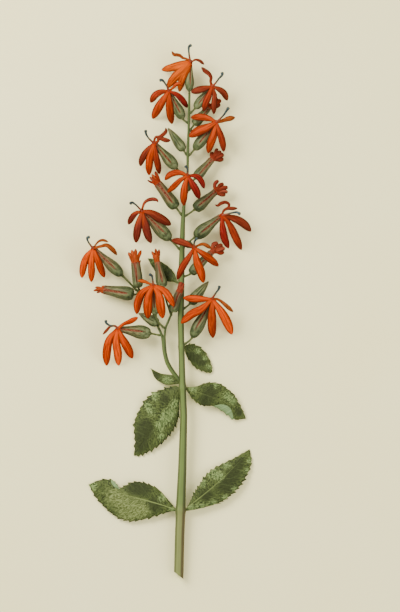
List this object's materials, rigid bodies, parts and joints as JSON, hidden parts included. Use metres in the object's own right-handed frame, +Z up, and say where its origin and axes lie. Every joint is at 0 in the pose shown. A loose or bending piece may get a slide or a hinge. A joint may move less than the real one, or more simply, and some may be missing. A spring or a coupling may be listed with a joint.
{
  "type": "cut cardinal flower stem",
  "caption": "Cut flowering stem of a cardinal flower lying flat, with toothed leaves low down and red star-shaped flowers along the upper half.",
  "frame": {"origin": "middle of the underside: the plant lies on z = 0 and the origin is under the middle of its bounding box", "axes": "+Y along the stem from the cut end to the top flower, +X to the right as the plant is seen from above, +Z up from the surface"},
  "size_m": [0.1374, 0.4278, 0.037],
  "materials": {
    "stem": "satin",
    "leaf": "satin",
    "calyx": "satin",
    "petal": "matte",
    "column": "satin",
    "bud": "satin"
  },
  "bodies": {
    "root": {"stem": "stem", "side_branch": "stem", "leaf_lower_left": "leaf", "leaf_lower_right": "leaf", "leaf_middle_left": "leaf", "leaf_middle_right": "leaf", "leaf_small_left": "leaf", "leaf_small_right": "leaf", "leaf_bract": "leaf", "flower_1_calyx": "calyx", "flower_1_corolla": "petal", "flower_1_column": "column", "flower_2_calyx": "calyx", "flower_2_corolla": "petal", "flower_2_column": "column", "flower_3_calyx": "calyx", "flower_3_corolla": "petal", "flower_3_column": "column", "flower_4_calyx": "calyx", "flower_4_corolla": "petal", "flower_4_column": "column", "flower_5_calyx": "calyx", "flower_5_corolla": "petal", "flower_5_column": "column", "flower_6_calyx": "calyx", "flower_6_corolla": "petal", "flower_6_column": "column", "flower_7_calyx": "calyx", "flower_7_corolla": "petal", "flower_7_column": "column", "flower_8_calyx": "calyx", "flower_8_corolla": "petal", "flower_8_column": "column", "flower_9_calyx": "calyx", "flower_9_corolla": "petal", "flower_9_column": "column", "flower_10_calyx": "calyx", "flower_10_corolla": "petal", "flower_10_column": "column", "flower_11_calyx": "calyx", "flower_11_corolla": "petal", "flower_11_column": "column", "flower_12_calyx": "calyx", "flower_12_corolla": "petal", "flower_12_column": "column", "flower_13_calyx": "calyx", "flower_13_corolla": "petal", "flower_13_column": "column", "bud_1": "bud", "bud_2": "bud", "bud_3": "bud", "bud_4": "bud", "bud_5": "bud", "bud_6": "bud", "bud_7": "bud", "bud_8": "bud", "bud_9": "bud", "green_calyx_1": "calyx", "green_calyx_2": "calyx", "green_calyx_3": "calyx"}
  },
  "joints": []
}
